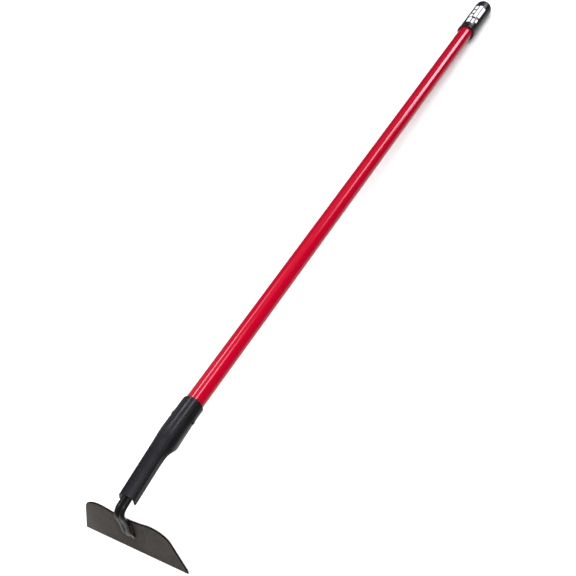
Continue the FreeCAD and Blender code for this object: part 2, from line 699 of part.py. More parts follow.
def make_blade_weld(label, side):
    """A fillet between a rod and the blade's front face, on the blade's own axes."""
    body = new_body(label)
    sketch = new_sketch(body, label + "_section", "XZ_Plane")
    radius = SIZE["rod_diameter"] / 2
    centre = side * (radius + SIZE["rod_gap"] / 2)
    # the section stands on the face that looks away from the grip, at the blade's own -Z
    root = math.radians(SIZE["weld_root_angle"])
    toe = math.radians(SIZE["weld_toe_angle"])
    low = (centre + side * radius * math.sin(root), radius * math.cos(root) - radius)
    high = (centre + side * radius * math.sin(toe), radius * math.cos(toe) - radius)
    foot = (centre + side * SIZE["weld_leg"], 0.0)
    crown = ((high[0] + foot[0]) / 2 + side * SIZE["weld_swell_across"],
             (high[1] + foot[1]) / 2 - SIZE["weld_swell_out"])
    corners = [high, crown, foot, (low[0], 0.0), low]
    lines = [add_line(sketch, corners[i], corners[i + 1]) for i in range(4)]
    angles = [math.pi / 2 - toe, math.pi / 2 - root]
    if side < 0:
        angles = [math.pi - angles[1], math.pi - angles[0]]
    contact = add_arc(sketch, (centre, -radius), radius, angles[0], angles[1])
    for i in range(3):
        join(sketch, "Coincident", lines[i], 2, lines[i + 1], 1)
    arc_high, arc_low = (1, 2) if side > 0 else (2, 1)
    join(sketch, "Coincident", lines[3], 2, contact, arc_low)
    join(sketch, "Coincident", lines[0], 1, contact, arc_high)
    for line, (x, y) in zip(lines, corners):
        place_point(sketch, line, 1, x, y, "%.6f" % x, "%.6f" % y if y else "0")
    place_point(sketch, lines[3], 2, low[0], low[1], "%.6f" % low[0], "%.6f" % low[1])
    bind(sketch, "Radius", (contact,), radius, "@rod_diameter / 2")
    bead = body.newObject("PartDesign::Pad", label + "_bead")
    bead.Profile = sketch
    bead.setExpression("Length", ref("@weld_length"))
    body.Tip = bead
    doc.recompute()
    near = bead.Shape.BoundBox.YMin
    start = SIZE["weld_height"] - SIZE["weld_length"] - near
    along_blade = FreeCAD.Placement(vec(0, start, 0), FreeCAD.Rotation())
    body.Placement = blade_placement() * along_blade
    return body


def make_socket_weld(label, side, socket, rod):
    """Filler between a rod and the channel's wall: a block less the two."""
    radius = SIZE["rod_diameter"] / 2
    slope = SIZE["channel_slope"]
    depth = SIZE["socket_weld_depth"]
    start = SIZE["socket_weld_start"]
    drop = SIZE["rod_drop"] - (SIZE["socket_length"] - start) * math.tan(math.radians(slope))
    inner = 2 * radius - SIZE["socket_weld_overlap"]
    width = SIZE["socket_weld_width"]
    length = SIZE["socket_weld_length"]
    corner = vec(0, inner if side > 0 else -inner - width,
                 -depth / 2 - SIZE["socket_weld_drop"])
    block = Part.makeBox(length, width, depth, corner)
    turn = FreeCAD.Rotation(vec(0, 1, 0), -slope)
    base = vec(-start, 0, -drop)
    shift = turn.multVec(vec(-length, 0, 0))
    block.Placement = FreeCAD.Placement(base + shift, turn)
    block = block.cut(socket.Shape).cut(rod.Shape)
    weld = doc.addObject("Part::Feature", label)
    weld.Label = label
    middle = min(block.Solids, key=lambda solid: abs(solid.CenterOfMass.y))
    weld.Shape = middle
    return weld


# ---------------------------------------------------------------- assembly

blade = make_blade()
blade.Placement = blade_placement()
rod_left = make_rod("shank_rod_left", 1)
rod_right = make_rod("shank_rod_right", -1)
socket = make_socket()
doc.recompute()
sub_parts = [
    blade,
    rod_left,
    rod_right,
    make_blade_weld("blade_weld_left", 1),
    make_blade_weld("blade_weld_right", -1),
    socket,
    make_socket_weld("socket_weld_left", 1, socket, rod_left),
    make_socket_weld("socket_weld_right", -1, socket, rod_right),
    make_handle(),
    make_core(),
    make_rivet(),
    make_grip(),
    make_label(),
]
doc.recompute()


def rest_tilt():
    """Slope of the handle when the cutting edge and the grip's rounded end touch the floor."""
    along = SIZE["handle_visible"] + SIZE["grip_length"] - SIZE["grip_end_round"]
    along += SIZE["blade_reach"]
    above = SIZE["blade_drop"] - SIZE["grip_radius"] + SIZE["grip_end_round"]
    away = math.hypot(along, above)
    return math.atan2(above, along) - math.asin(SIZE["grip_end_round"] / away)


def lay_down(parts):
    tilt = FreeCAD.Rotation(vec(0, 1, 0), math.degrees(rest_tilt()))
    edge = tilt.multVec(vec(-SIZE["blade_reach"], 0, -SIZE["blade_drop"]))
    on_floor = FreeCAD.Placement(vec(0, 0, -edge.z), tilt)
    for part in parts:
        part.Placement = on_floor * part.Placement
    doc.recompute()
    boxes = [part.Shape.optimalBoundingBox(False, False) for part in parts]
    middle = (min(box.XMin for box in boxes) + max(box.XMax for box in boxes)) / 2
    for part in parts:
        part.Placement = FreeCAD.Placement(vec(-middle, 0, 0), FreeCAD.Rotation()) * part.Placement
    doc.recompute()
    return middle


middle = lay_down(sub_parts)

for item in doc.Objects:
    if "Invalid" in item.State or "Error" in item.State:
        raise ValueError("not recomputed: " + item.Name)
for part in sub_parts:
    if part.Shape.isNull() or not part.Shape.isValid():
        raise ValueError("bad shape: " + part.Label)

os.makedirs("parts", exist_ok=True)
for part in sub_parts:
    part.Shape.exportStep(os.path.join("parts", part.Label + ".step"))
    box = part.Shape.BoundBox
    print("%-18s solids %d volume %9.1f  x %8.1f %8.1f  y %7.1f %7.1f  z %7.1f %7.1f" % (
        part.Label, len(part.Shape.Solids), part.Shape.Volume,
        box.XMin, box.XMax, box.YMin, box.YMax, box.ZMin, box.ZMax))
print("rest tilt %.4f degrees, socket mouth at x %.3f" % (math.degrees(rest_tilt()), -middle))
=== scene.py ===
import json
import math

import bmesh
import bpy
from mathutils import Matrix, Vector


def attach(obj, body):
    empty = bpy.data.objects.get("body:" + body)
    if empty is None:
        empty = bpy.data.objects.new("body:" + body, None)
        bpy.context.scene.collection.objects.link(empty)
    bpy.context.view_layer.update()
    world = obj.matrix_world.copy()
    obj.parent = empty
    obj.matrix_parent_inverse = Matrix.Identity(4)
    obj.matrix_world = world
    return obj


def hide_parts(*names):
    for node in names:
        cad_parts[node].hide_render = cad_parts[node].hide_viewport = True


# Garden hoe, lying on the floor on its cutting edge and its grip.
#
# Shapes are made in the tool's own frame, in millimetres: X along the handle towards the grip,
# Y across the tool, Z square to both, with the origin on the handle's axis at the socket's mouth.
# "Reach" is the distance from the mouth towards the blade.  Each mesh is then carried over into
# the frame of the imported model, which is in metres.

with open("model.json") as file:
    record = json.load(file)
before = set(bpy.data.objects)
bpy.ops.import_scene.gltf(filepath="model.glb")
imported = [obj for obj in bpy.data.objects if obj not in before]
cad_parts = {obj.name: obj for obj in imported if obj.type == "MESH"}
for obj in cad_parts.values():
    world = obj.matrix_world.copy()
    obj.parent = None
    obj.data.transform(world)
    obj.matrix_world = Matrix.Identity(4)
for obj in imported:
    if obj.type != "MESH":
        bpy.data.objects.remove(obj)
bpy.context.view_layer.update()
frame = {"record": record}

MM = 0.001
MOUNTS = {mount["name"]: mount for mount in frame["record"]["mounts"]}
CLIP = MOUNTS["handle_clip"]
SLEEVE = MOUNTS["grip_sleeve"]

# handle and grip
HANDLE_RADIUS = CLIP["dims"]["r_mm"]
HANDLE_VISIBLE = CLIP["dims"]["length_mm"]
HANDLE_BORE = 12.0
HANDLE_IN_SOCKET = 58.0
HANDLE_IN_GRIP = 126.0
CORE_LENGTH = 110.0
CORE_CLEARANCE = 0.05
GRIP_RADIUS = SLEEVE["dims"]["r_mm"]
GRIP_BORE = 15.03
GRIP_BEAD = 19.3
GRIP_BEAD_LENGTH = 5.0
GRIP_LENGTH = 134.0
GRIP_END_ROUND = 16.0
GRIP_END_WALL = 6.6
LABEL_START = 16.0
LABEL_LENGTH = 84.0
LABEL_ANGLE = math.radians(78)
LABEL_TURN = math.radians(-10)
LABEL_CORNER = 5.0
LABEL_THICKNESS = 0.05

# socket: a tube at the mouth, which opens and is trimmed, then turns into a channel;
# a pair of numbers gives the reaches where a change starts and where it is complete
SHEET = 2.66
SHEET_EDGE = 0.5
SOCKET_RADIUS = 17.7
SOCKET_LENGTH = 180.7
SOCKET_LIP = 1.1
SEAM_GAP = 1.0
SEAM_OPENS = (4.0, 70.0)
SKIRT_STRAIGHTEN = 0.58
# the skirt is the outer part of each half ring; it starts and is full this many radii along it
SKIRT_START = 1.45
SKIRT_FULL = 1.7
TRIM = (51.0, 101.0)
CHANNEL_FORMS = (60.0, 120.0)
CHANNEL_HALF_BLANK = 23.2
CHANNEL_TAPER = 0.009
CHANNEL_ROOF_RADIUS = 20.0
CHANNEL_CROWN = 10.9
CHANNEL_CORNER = 2.2
CHANNEL_BEND_BLEND = 0.5
CHANNEL_TURN = math.radians(84)
CHANNEL_SLOPE = math.radians(9)
SLOPE_START = 72.0
SLOPE_BLEND = 12.0
RIVET_REACH = 29.0

# shank rods
ROD_RADIUS = 4.0
ROD_SPACING = 8.04
ROD_START = 76.0
ROD_DROP = 7.2
ROD_BEND_START = 191.7
ROD_BEND_RADIUS = 12.0
ROD_HEADING = math.radians(102)
ROD_FOOT_RADIUS = 40.0
ROD_FOOT_END = 44.0
ROD_TIP = 2.2
ROD_TAPER = 26.0

# blade
BLADE_WIDTH = 180.0
BLADE_REACH = 185.0
BLADE_DROP = 134.8
BLADE_LEAN = math.radians(5)
BLADE_CORNER = 2.5
DIP_HEIGHT = 93.7
HUMP_HEIGHT = 100.7
HUMP_OFFSET = 42.5
HUMP_RADIUS = 30.0
BEVEL_HEIGHT = 6.0
EDGE_LAND = 0.7

# welds: the leg is measured from a rod's centre, the top from the cutting edge up the blade,
# the start is a reach, and the wall is measured from the middle of the channel
BLADE_WELD_LEG = 6.2
BLADE_WELD_TOP = 90.0
BLADE_WELD_LENGTH = 30.0
SOCKET_WELD_START = 100.0
SOCKET_WELD_LENGTH = 45.0
SOCKET_WELD_WALL = 12.0


def tool_matrix():
    """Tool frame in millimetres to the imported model's frame in metres."""
    along = Vector(CLIP["axis"]).normalized()
    across = Vector((0, 1, 0))
    up = along.cross(across)
    mouth = Vector(CLIP["pos_m"]) - along * (HANDLE_VISIBLE / 2 * MM)
    turn = Matrix((along, across, up)).transposed().to_4x4()
    return Matrix.Translation(mouth) @ turn @ Matrix.Scale(MM, 4)


TOOL = tool_matrix()
MOUTH = TOOL.translation
TILT = math.atan2(-TOOL[2][0], TOOL[0][0])


# ---------------------------------------------------------------- mesh helpers

def smooth(value, low, high):
    """Rises from nothing at low to one at high, level at both ends."""
    part = min(1.0, max(0.0, (value - low) / (high - low)))
    return part * part * (3 - 2 * part)


def quarter(steps):
    """Angles of a quarter turn."""
    return [math.pi / 2 * i / steps for i in range(steps + 1)]


def skin(form, rows, closed=False):
    """Joins rows of points, each of them a loop, and the last row to the first if closed."""
    count = len(rows[0])
    following_rows = rows[1:] + rows[:1] if closed else rows[1:]
    for row, following in zip(rows, following_rows):
        for i in range(count):
            j = (i + 1) % count
            form.faces.new((row[i], row[j], following[j], following[i]))


def to_mesh(name, form):
    """Merges doubled points, turns the faces outwards and closes the work on a form."""
    bmesh.ops.remove_doubles(form, verts=form.verts, dist=1e-4)
    bmesh.ops.recalc_face_normals(form, faces=form.faces)
    mesh = bpy.data.meshes.new(name)
    form.to_mesh(mesh)
    form.free()
    return mesh


def loft(name, rings):
    """A closed skin over rings of the same number of points."""
    form = bmesh.new()
    rows = [[form.verts.new(point) for point in ring] for ring in rings]
    skin(form, rows)
    form.faces.new(rows[0][::-1])
    form.faces.new(rows[-1])
    return to_mesh(name, form)


def lathe(name, profile, segments, axis=Matrix.Identity(4)):
    """A closed profile of (along, radius) points turned about X."""
    form = bmesh.new()
    rows = []
    for along, radius in profile:
        row = []
        for i in range(segments):
            turn = 2 * math.pi * i / segments
            point = Vector((along, radius * math.sin(turn), radius * math.cos(turn)))
            row.append(form.verts.new(axis @ point))
        rows.append(row)
    skin(form, rows, closed=True)
    bmesh.ops.remove_doubles(form, verts=form.verts, dist=1e-4)
    flat = [face for face in form.faces if face.calc_area() < 1e-9]
    bmesh.ops.delete(form, geom=flat, context="FACES")
    return to_mesh(name, form)


def mark_edges(mesh):
    """Stores how convex the surface is at each point, for wear along the edges."""
    total = [0.0] * len(mesh.vertices)
    count = [0] * len(mesh.vertices)
    normals = [vertex.normal.copy() for vertex in mesh.vertices]
    for edge in mesh.edges:
        first, second = edge.vertices
        step = (mesh.vertices[second].co - mesh.vertices[first].co).normalized()
        total[first] -= normals[first].dot(step)
        total[second] += normals[second].dot(step)
        count[first] += 1
        count[second] += 1
    layer = mesh.attributes.new("convex", "FLOAT", "POINT")
    for i, item in enumerate(layer.data):
        item.value = total[i] / max(1, count[i])


def piece(name, mesh, material, slot, *nodes, crease=35):
    """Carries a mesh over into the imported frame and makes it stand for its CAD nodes."""
    mesh.transform(TOOL)
    for face in mesh.polygons:
        face.use_smooth = True
    mesh.set_sharp_from_angle(angle=math.radians(crease))
    mark_edges(mesh)
    mesh.materials.append(material)
    made = bpy.data.objects.new(name, mesh)
    bpy.context.scene.collection.objects.link(made)
    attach(made, "root")
    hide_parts(*nodes)


# ---------------------------------------------------------------- material helpers

def new_material(name):
    """An empty node material with one shader: the material, its tree and the shader."""
    material = bpy.data.materials.new(name)
    material.use_nodes = True
    tree = material.node_tree
    tree.nodes.clear()
    output = tree.nodes.new("ShaderNodeOutputMaterial")
    shader = tree.nodes.new("ShaderNodeBsdfPrincipled")
    tree.links.new(shader.outputs["BSDF"], output.inputs["Surface"])
    return material, tree, shader


def add(tree, kind, inputs, output=0, **settings):
    """Adds a node, sets or links its inputs, and returns one of its outputs."""
    made = tree.nodes.new("ShaderNode" + kind)
    for key, value in settings.items():
        setattr(made, key, value)
    for key, value in inputs.items():
        if isinstance(value, bpy.types.NodeSocket):
            tree.links.new(value, made.inputs[key])
        else:
            made.inputs[key].default_value = value
    return made.outputs[output]


def calc(tree, operation, first, second=0.0):
    """One step of arithmetic on numbers or sockets."""
    return add(tree, "Math", {0: first, 1: second}, operation=operation)


def place(tree, feature):
    """Coordinates in the tool's frame, in steps of a feature's size in millimetres."""
    if not isinstance(feature, tuple):
        feature = (feature, feature, feature)
    here = add(tree, "TexCoord", {}, output="Object")
    return add(tree, "Mapping", {
        "Vector": here,
        "Location": MOUTH,
        "Rotation": (0, TILT, 0),
        "Scale": [size * MM for size in feature],
    }, vector_type="TEXTURE")


def tool_axes(tree):
    """Along, across and up in the tool's frame, each in millimetres."""
    split = tree.nodes.new("ShaderNodeSeparateXYZ")
    tree.links.new(place(tree, 1.0), split.inputs[0])
    return split.outputs[0], split.outputs[1], split.outputs[2]


def noise(tree, feature, detail=2.0, rough=0.5):
    """Cloudy noise; its features have about the given size, or sizes along each axis."""
    return add(tree, "TexNoise", {
        "Vector": place(tree, feature), "Scale": 1.0, "Detail": detail, "Roughness": rough,
    })


def ramp(tree, value, low, high, out_low=0.0, out_high=1.0):
    """Carries the range low to high over to out_low to out_high, and clips it there."""
    return add(tree, "MapRange", {
        "Value": value, "From Min": low, "From Max": high, "To Min": out_low, "To Max": out_high,
    })


def between(tree, value, low, high, soft):
    """One between two values, nothing outside them."""
    rising = ramp(tree, value, low - soft, low + soft)
    falling = ramp(tree, value, high + soft, high - soft)
    return calc(tree, "MULTIPLY", rising, falling)


def blend_colour(tree, share, first, second):
    """The first colour where the share is nothing, the second where it is one."""
    return add(tree, "Mix", {0: share, 6: first, 7: second}, output=2, data_type="RGBA")


def bump(tree, height, depth_mm, below=None):
    """Relief of a depth in millimetres, on top of the relief below it."""
    inputs = {"Height": height, "Strength": 1.0, "Distance": depth_mm * MM}
    if below is not None:
        inputs["Normal"] = below
    return add(tree, "Bump", inputs)


def rgb(red, green, blue):
    return (red, green, blue, 1.0)


# ---------------------------------------------------------------- materials

BLACK = rgb(0.0050, 0.0052, 0.0060)
SOOT = rgb(0.0055, 0.0052, 0.0050)
BROWN_BLACK = rgb(0.0080, 0.0070, 0.0064)
WORN = rgb(0.045, 0.045, 0.048)
DUST = rgb(0.16, 0.15, 0.14)


def black_paint(name, colour, worn, roughness, peel_mm, specular):
    """Satin paint on steel: fine orange peel, cloudy gloss, dust, edges rubbed to another tone."""
    material, tree, shader = new_material(name)
    clouds = noise(tree, 24.0, 3.0)
    cloudy_colour = rgb(*[1.4 * part for part in colour[:3]])
    tone = blend_colour(tree, ramp(tree, clouds, 0.3, 0.7), colour, cloudy_colour)
    convex = add(tree, "Attribute", {}, output="Fac", attribute_name="convex")
    rubbed = ramp(tree, convex, 0.06, 0.2)
    patchy = ramp(tree, noise(tree, 3.5, 3.0), 0.45, 0.65)
    tone = blend_colour(tree, calc(tree, "MULTIPLY", rubbed, patchy), tone, worn)
    dust = ramp(tree, noise(tree, 0.8, 4.0, 0.75), 0.66, 0.74)
    tone = blend_colour(tree, calc(tree, "MULTIPLY", dust, 0.25), tone, DUST)
    tree.links.new(tone, shader.inputs["Base Color"])
    gloss = ramp(tree, clouds, 0.3, 0.7, roughness - 0.04, roughness + 0.05)
    tree.links.new(gloss, shader.inputs["Roughness"])
    shader.inputs["Specular IOR Level"].default_value = specular
    peel = bump(tree, noise(tree, 1.3, 2.0), peel_mm)
    grain = bump(tree, noise(tree, 0.35, 1.0), 0.3 * peel_mm, peel)
    tree.links.new(grain, shader.inputs["Normal"])
    return material


def blade_paint_and_reflection():
    """Thin matt lacquer on rolled plate: mottled brown lifted as a painted reflection of the floor,
    painted shade at the rim, darker round the weld.
    """
    material, tree, shader = new_material("blade_lacquer")
    # the mottled and lighter browns stand in for a painted reflection of the floor on black paint
    mottle = noise(tree, (6.0, 4.0, 9.0), 4.0, 0.65)
    tone = blend_colour(tree, ramp(tree, mottle, 0.38, 0.62),
                        rgb(0.0070, 0.0056, 0.0046), rgb(0.0440, 0.0365, 0.0315))
    broad = noise(tree, 45.0, 2.0)
    tone = blend_colour(tree, ramp(tree, broad, 0.35, 0.75, 0.0, 0.6),
                        tone, rgb(0.052, 0.0440, 0.0385))
    fine = noise(tree, 0.9, 3.0, 0.6)
    tone = blend_colour(tree, ramp(tree, fine, 0.55, 0.75, 0.0, 0.5),
                        tone, rgb(0.052, 0.045, 0.040))
    rolling = noise(tree, (1.6, 1.2, 40.0), 3.0)
    tone = blend_colour(tree, ramp(tree, rolling, 0.5, 0.7, 0.0, 0.35),
                        tone, rgb(0.008, 0.0066, 0.0057))
    # darker down the middle round the weld, and paler towards the left end, where more floor
    # reflection is painted
    side = tool_axes(tree)[1]
    from_weld = calc(tree, "ABSOLUTE", side)
    tone = blend_colour(tree, ramp(tree, from_weld, 6.0, 28.0, 0.55, 0.0),
                        tone, rgb(0.010, 0.0082, 0.0070))
    tone = blend_colour(tree, ramp(tree, side, 45.0, 88.0, 0.0, 0.5),
                        tone, rgb(0.072, 0.070, 0.066))
    # painted shade: the rim, the plate's broken edges, is darkened to a thin dark line
    rim = add(tree, "Attribute", {}, output="Fac", attribute_name="rim")
    tone = blend_colour(tree, ramp(tree, rim, 0.0, 1.0, 0.0, 0.9), tone, rgb(0.004, 0.0036, 0.0033))
    tree.links.new(tone, shader.inputs["Base Color"])
    gloss = ramp(tree, mottle, 0.3, 0.7, 0.42, 0.52)
    tree.links.new(gloss, shader.inputs["Roughness"])
    # the paint's own reflection is kept low; the floor's reflection is painted into the brown
    # instead
    shader.inputs["Specular IOR Level"].default_value = 0.08
    streaks = bump(tree, rolling, 0.012)
    grain = bump(tree, fine, 0.02, streaks)
    tree.links.new(grain, shader.inputs["Normal"])
    return material


def red_fibreglass():
    """Glossy pultruded tube: faint lengthwise streaks of glass under a smooth red surface."""
    material, tree, shader = new_material("red_fibreglass")
    streaks = noise(tree, (180.0, 0.7, 0.7), 3.0)
    tone = blend_colour(tree, ramp(tree, streaks, 0.35, 0.65),
                        rgb(0.30, 0.0004, 0.011), rgb(0.345, 0.0006, 0.014))
    bands = noise(tree, (420.0, 5.0, 5.0), 2.0)
    tone = blend_colour(tree, ramp(tree, bands, 0.4, 0.7, 0.0, 0.4),
                        tone, rgb(0.37, 0.0008, 0.016))
    tree.links.new(tone, shader.inputs["Base Color"])
    scuffs = noise(tree, (30.0, 1.5, 1.5), 4.0, 0.7)
    tree.links.new(ramp(tree, scuffs, 0.45, 0.8, 0.06, 0.12), shader.inputs["Roughness"])
    weave = bump(tree, streaks, 0.0006)
    waves = bump(tree, noise(tree, (60.0, 8.0, 8.0), 2.0), 0.006, weave)
    tree.links.new(waves, shader.inputs["Normal"])
    return material


def black_vinyl():
    """Glossy moulded grip: slight ripple of the mould and finger smudges in the gloss."""
    material, tree, shader = new_material("black_vinyl")
    smudge = noise(tree, 14.0, 4.0, 0.6)
    tone = blend_colour(tree, smudge, rgb(0.005, 0.005, 0.006), rgb(0.009, 0.009, 0.011))
    tree.links.new(tone, shader.inputs["Base Color"])
    tree.links.new(ramp(tree, smudge, 0.35, 0.7, 0.24, 0.36), shader.inputs["Roughness"])
    ripple = bump(tree, noise(tree, 7.0, 2.0), 0.05)
    pores = bump(tree, noise(tree, 0.5, 2.0), 0.004, ripple)
    tree.links.new(pores, shader.inputs["Normal"])
    return material


# printed blocks: start and end along the label, start and end across it, in millimetres
PRINTED = [
    (30.0, 82.0, -2.8, 3.8),
    (34.0, 78.0, -11.4, -5.0),
    (28.0, 41.0, 6.0, 12.6),
    (46.0, 59.0, 6.0, 12.6),
    (64.0, 80.0, 6.0, 12.6),
    (4.0, 24.0, 3.0, 11.0),
    (3.0, 22.0, -4.5, 0.5),
    (12.0, 26.0, -12.0, -7.5),
]
PRINT_SOFTNESS = 0.2


def white_print():
    """Plain blocks of white ink, slightly uneven, on a film as black as the grip."""
    material, tree, shader = new_material("white_print")
    x, y, z = tool_axes(tree)
    along = calc(tree, "SUBTRACT", x, HANDLE_VISIBLE + LABEL_START)
    angle = calc(tree, "SUBTRACT", calc(tree, "ARCTAN2", y, z), LABEL_TURN)
    across = calc(tree, "MULTIPLY", angle, GRIP_RADIUS)
    inked = 0.0
    for start, end, low, high in PRINTED:
        inside_along = between(tree, along, start, end, PRINT_SOFTNESS)
        inside_across = between(tree, across, low, high, PRINT_SOFTNESS)
        block = calc(tree, "MULTIPLY", inside_along, inside_across)
        inked = calc(tree, "MAXIMUM", inked, block)
    cover = noise(tree, 1.1, 4.0, 0.7)
    white = blend_colour(tree, ramp(tree, cover, 0.35, 0.75),
                         rgb(0.83, 0.85, 0.86), rgb(0.70, 0.72, 0.74))
    film = blend_colour(tree, cover, rgb(0.006, 0.006, 0.007), rgb(0.011, 0.011, 0.012))
    tree.links.new(blend_colour(tree, inked, film, white), shader.inputs["Base Color"])
    tree.links.new(ramp(tree, inked, 0, 1, 0.22, 0.36), shader.inputs["Roughness"])
    tree.links.new(bump(tree, cover, 0.006), shader.inputs["Normal"])
    return material


def sawn_wood():
    """Pale dowel with rings and short fibres along the grain."""
    material, tree, shader = new_material("sawn_wood")
    rings = add(tree, "TexWave", {
        "Vector": place(tree, (60.0, 4.0, 4.0)), "Scale": 1.0, "Distortion": 3.0, "Detail": 3.0,
    }, wave_type="RINGS", rings_direction="X")
    tone = blend_colour(tree, rings, rgb(0.60, 0.42, 0.25), rgb(0.42, 0.27, 0.14))
    fibre = noise(tree, (14.0, 0.25, 0.25), 3.0)
    tone = blend_colour(tree, ramp(tree, fibre, 0.4, 0.7, 0.0, 0.5), tone, rgb(0.3, 0.19, 0.1))
    tree.links.new(tone, shader.inputs["Base Color"])
    shader.inputs["Roughness"].default_value = 0.75
    tree.links.new(bump(tree, fibre, 0.05), shader.inputs["Normal"])
    return material


def floor_white():
    """Plain matt white, hardly uneven."""
    material, tree, shader = new_material("floor_white")
    tone = blend_colour(tree, noise(tree, 300.0), rgb(0.80, 0.80, 0.80), rgb(0.83, 0.83, 0.83))
    tree.links.new(tone, shader.inputs["Base Color"])
    shader.inputs["Roughness"].default_value = 0.9
    shader.inputs["Specular IOR Level"].default_value = 0.0
    return material


# ---------------------------------------------------------------- socket

def roof_drop(reach):
    """How far the channel's roof has sunk below the closed ring's."""
    slope = math.tan(CHANNEL_SLOPE)
    past = reach - SLOPE_START
    if past < -SLOPE_BLEND:
        return 0.0
    if past > SLOPE_BLEND:
        return past * slope
    return slope * (past + SLOPE_BLEND) ** 2 / (4 * SLOPE_BLEND)


def half_blank(reach):
    """Half width of the flat blank at this reach."""
    full = math.pi * (SOCKET_RADIUS - SHEET / 2) - SEAM_GAP / 2
    channel = CHANNEL_HALF_BLANK - (reach - TRIM[1]) * CHANNEL_TAPER
    return full + (channel - full) * smooth(reach, *TRIM)


def sheet_bend(across, reach):
    """Curvature of the rolled sheet at a distance across it from the roof's middle."""
    radius = SOCKET_RADIUS - SHEET / 2
    opened = SKIRT_STRAIGHTEN * smooth(reach, *SEAM_OPENS)
    skirt = smooth(across, SKIRT_START * radius, SKIRT_FULL * radius)
    ring = (1 - opened * skirt) / radius
    corner_end = CHANNEL_CROWN + CHANNEL_CORNER
    past_crown = smooth(across, CHANNEL_CROWN - CHANNEL_BEND_BLEND,
                        CHANNEL_CROWN + CHANNEL_BEND_BLEND)
    past_corner = smooth(across, corner_end - CHANNEL_BEND_BLEND, corner_end + CHANNEL_BEND_BLEND)
    corner_bend = (CHANNEL_TURN - CHANNEL_CROWN / CHANNEL_ROOF_RADIUS) / CHANNEL_CORNER
    roof_bend = (1 - past_crown) / CHANNEL_ROOF_RADIUS
    channel = roof_bend + (past_crown - past_corner) * corner_bend
    formed = smooth(reach, *CHANNEL_FORMS)
    return ring * (1 - formed) + channel * formed


def sheet_half(reach, steps):
    """Middle surface from the roof's middle to the seam: (y, z, angle) at equal steps."""
    width = half_blank(reach) / steps
    fine = 3
    angle = 0.0
    y = 0.0
    z = SOCKET_RADIUS - SHEET / 2 - roof_drop(reach)
    points = [(y, z, angle)]
    for step in range(steps):
        for part in range(fine):
            bend = sheet_bend((step + (part + 0.5) / fine) * width, reach) * width / fine
            y += width / fine * math.cos(angle + bend / 2)
            z -= width / fine * math.sin(angle + bend / 2)
            angle += bend
        points.append((y, z, angle))
    return points


def socket_ring(reach, thin, steps, edge_round):
    """The closed outline of the sheet at one reach; thin is taken off each face."""
    half = SHEET / 2 - thin
    line = sheet_half(reach, steps)
    outer = [(y + half * math.sin(a), z + half * math.cos(a)) for y, z, a in line[:-1]]
    inner = [(y - half * math.sin(a), z - half * math.cos(a)) for y, z, a in line[-2::-1]]
    y, z, angle = line[-1]
    edge = []
    for turn in quarter(4):
        edge.append((edge_round * (math.sin(turn) - 1), half - edge_round * (1 - math.cos(turn))))
    edge += [(ahead, -off) for ahead, off in reversed(edge)]
    rim = [(y + math.cos(angle) * ahead + math.sin(angle) * off,
            z - math.sin(angle) * ahead + math.cos(angle) * off) for ahead, off in edge]
    side = outer + rim + inner
    other = [(-y, z) for y, z in side[-2:0:-1]]
    return [Vector((-reach, y, z)) for y, z in side + other]


def across_sheet(row, index):
    """The point on the sheet's other face."""
    half_count = (len(row) + 2) // 2
    return row[(half_count - 1 - index) % len(row)]


def socket_mesh():
    """Rolled sheet with a rounded lip at the mouth and broken edges elsewhere."""
    stations = 110
    steps = 84
    clear = 0.6
    thinnest = 0.05
    rings = []
    for turn in quarter(6):
        rings.append((SOCKET_LIP * (1 - math.sin(turn)), SOCKET_LIP * (1 - math.cos(turn))))
    first = SOCKET_LIP + clear
    last = SOCKET_LENGTH - SHEET_EDGE - clear
    for i in range(stations + 1):
        rings.append((first + (last - first) * i / stations, 0.0))
    for turn in quarter(4):
        rings.append((SOCKET_LENGTH - SHEET_EDGE * (1 - math.sin(turn)),
                      SHEET_EDGE * (1 - math.cos(turn))))
    rings.sort()
    form = bmesh.new()
    rows = []
    for reach, thin in rings:
        edge_round = min(SHEET_EDGE, SHEET / 2 - thin - thinnest)
        ring = socket_ring(reach, thin, steps, edge_round)
        rows.append([form.verts.new(point) for point in ring])
    skin(form, rows)
    # each end is closed by a strip between the sheet's two faces
    count = len(rows[0])
    for row in (rows[0], rows[-1]):
        for i in range(count):
            j = (i + 1) % count
            corners = (row[i], row[j], across_sheet(row, j), across_sheet(row, i))
            distinct = list(dict.fromkeys(corners))
            if len(distinct) > 2 and form.faces.get(distinct) is None:
                form.faces.new(distinct)
    return to_mesh("socket_sheet", form)


# ---------------------------------------------------------------- shank rods

